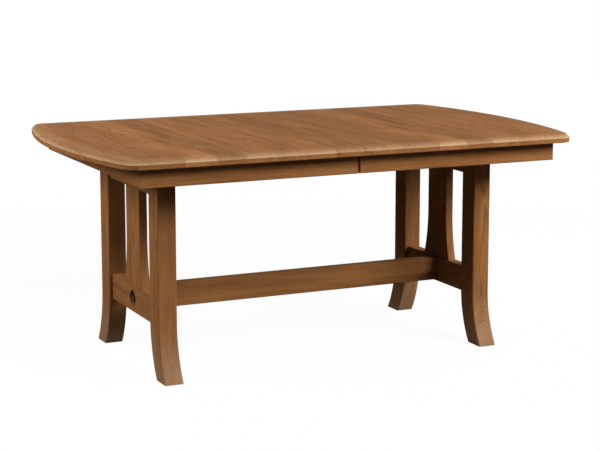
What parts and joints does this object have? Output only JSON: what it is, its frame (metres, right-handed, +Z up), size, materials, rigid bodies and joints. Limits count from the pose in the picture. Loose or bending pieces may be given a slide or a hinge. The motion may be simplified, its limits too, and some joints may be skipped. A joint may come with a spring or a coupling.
{
  "type": "extending trestle dining table",
  "caption": "Extending trestle dining table: bow-ended top split across the middle over plain aprons, on flared legs with splats and a long stretcher; geared slides draw both halves apart.",
  "frame": {"origin": "On the floor, under the middle of the closed top", "axes": "+X along the table's length, -Y towards the front in the picture, +Z up"},
  "size_m": [1.73, 1.07, 0.762],
  "materials": {
    "top_wood": "satin lacquer",
    "apron_wood": "satin lacquer",
    "base_wood": "satin lacquer",
    "slide_wood": "plain planed",
    "zinc_steel": "dull zinc plate",
    "black_steel": "black oxide, oiled",
    "moulded_plastic": "moulded, fine grain"
  },
  "bodies": {
    "base": {"leg_front_left": "base_wood", "leg_rear_left": "base_wood", "upper_rail_left": "base_wood", "lower_rail_left": "base_wood", "splat_left": "base_wood", "leg_front_right": "base_wood", "leg_rear_right": "base_wood", "upper_rail_right": "base_wood", "lower_rail_right": "base_wood", "splat_right": "base_wood", "stretcher": "base_wood", "stretcher_bolts": "black_steel", "stretcher_washers": "black_steel", "stretcher_barrel_nuts": "zinc_steel", "fixed_runner_front": "slide_wood", "fixed_runner_rear": "slide_wood", "pinion_axles": "zinc_steel", "fixed_runner_screws": "zinc_steel"},
    "top_right": {"top_right": "top_wood", "apron_front_right": "apron_wood", "apron_rear_right": "apron_wood", "apron_end_right": "apron_wood", "corner_blocks_right": "slide_wood", "cleats_right": "slide_wood", "runner_screws_right": "zinc_steel", "side_runner_front_right": "slide_wood", "rack_front_right": "moulded_plastic", "side_runner_rear_right": "slide_wood", "rack_rear_right": "moulded_plastic", "alignment_pins": "slide_wood", "lock_plates": "zinc_steel", "lock_pivots": "zinc_steel"},
    "top_left": {"top_left": "top_wood", "apron_front_left": "apron_wood", "apron_rear_left": "apron_wood", "apron_end_left": "apron_wood", "corner_blocks_left": "slide_wood", "cleats_left": "slide_wood", "runner_screws_left": "zinc_steel", "side_runner_front_left": "slide_wood", "rack_front_left": "moulded_plastic", "side_runner_rear_left": "slide_wood", "rack_rear_left": "moulded_plastic", "pin_bushings": "moulded_plastic", "lock_keepers": "zinc_steel"},
    "pinion_front": {"pinion_front": "moulded_plastic"},
    "pinion_rear": {"pinion_rear": "moulded_plastic"},
    "lock_lever_front": {"lock_lever_front": "zinc_steel"},
    "lock_lever_rear": {"lock_lever_rear": "zinc_steel"}
  },
  "joints": [
    {"name": "top_right_slide", "type": "slide", "parent": "base", "child": "top_right", "axis": [1, 0, 0], "range_m": [0, 0.305]},
    {"name": "top_left_slide", "type": "slide", "parent": "base", "child": "top_left", "axis": [-1, 0, 0], "range_m": [0, 0.305]},
    {"name": "pinion_front_spin", "type": "hinge", "parent": "base", "child": "pinion_front", "pos_m": [0, -0.13, 0.688], "axis": [0, 0, 1], "range_deg": [0, 735]},
    {"name": "pinion_rear_spin", "type": "hinge", "parent": "base", "child": "pinion_rear", "pos_m": [0, 0.13, 0.688], "axis": [0, 0, 1], "range_deg": [0, 735]},
    {"name": "lock_lever_front_turn", "type": "hinge", "parent": "top_right", "child": "lock_lever_front", "pos_m": [0.042, -0.38, 0.7286], "axis": [0, 0, 1], "range_deg": [0, 90]},
    {"name": "lock_lever_rear_turn", "type": "hinge", "parent": "top_right", "child": "lock_lever_rear", "pos_m": [0.042, 0.38, 0.7286], "axis": [0, 0, -1], "range_deg": [0, 90]}
  ],
  "couplings": [
    {"joint": "top_left_slide", "follows": "top_right_slide", "ratio": 1},
    {"joint": "pinion_front_spin", "follows": "top_right_slide", "rad_per_m": 41.667},
    {"joint": "pinion_rear_spin", "follows": "top_right_slide", "rad_per_m": 41.667}
  ]
}
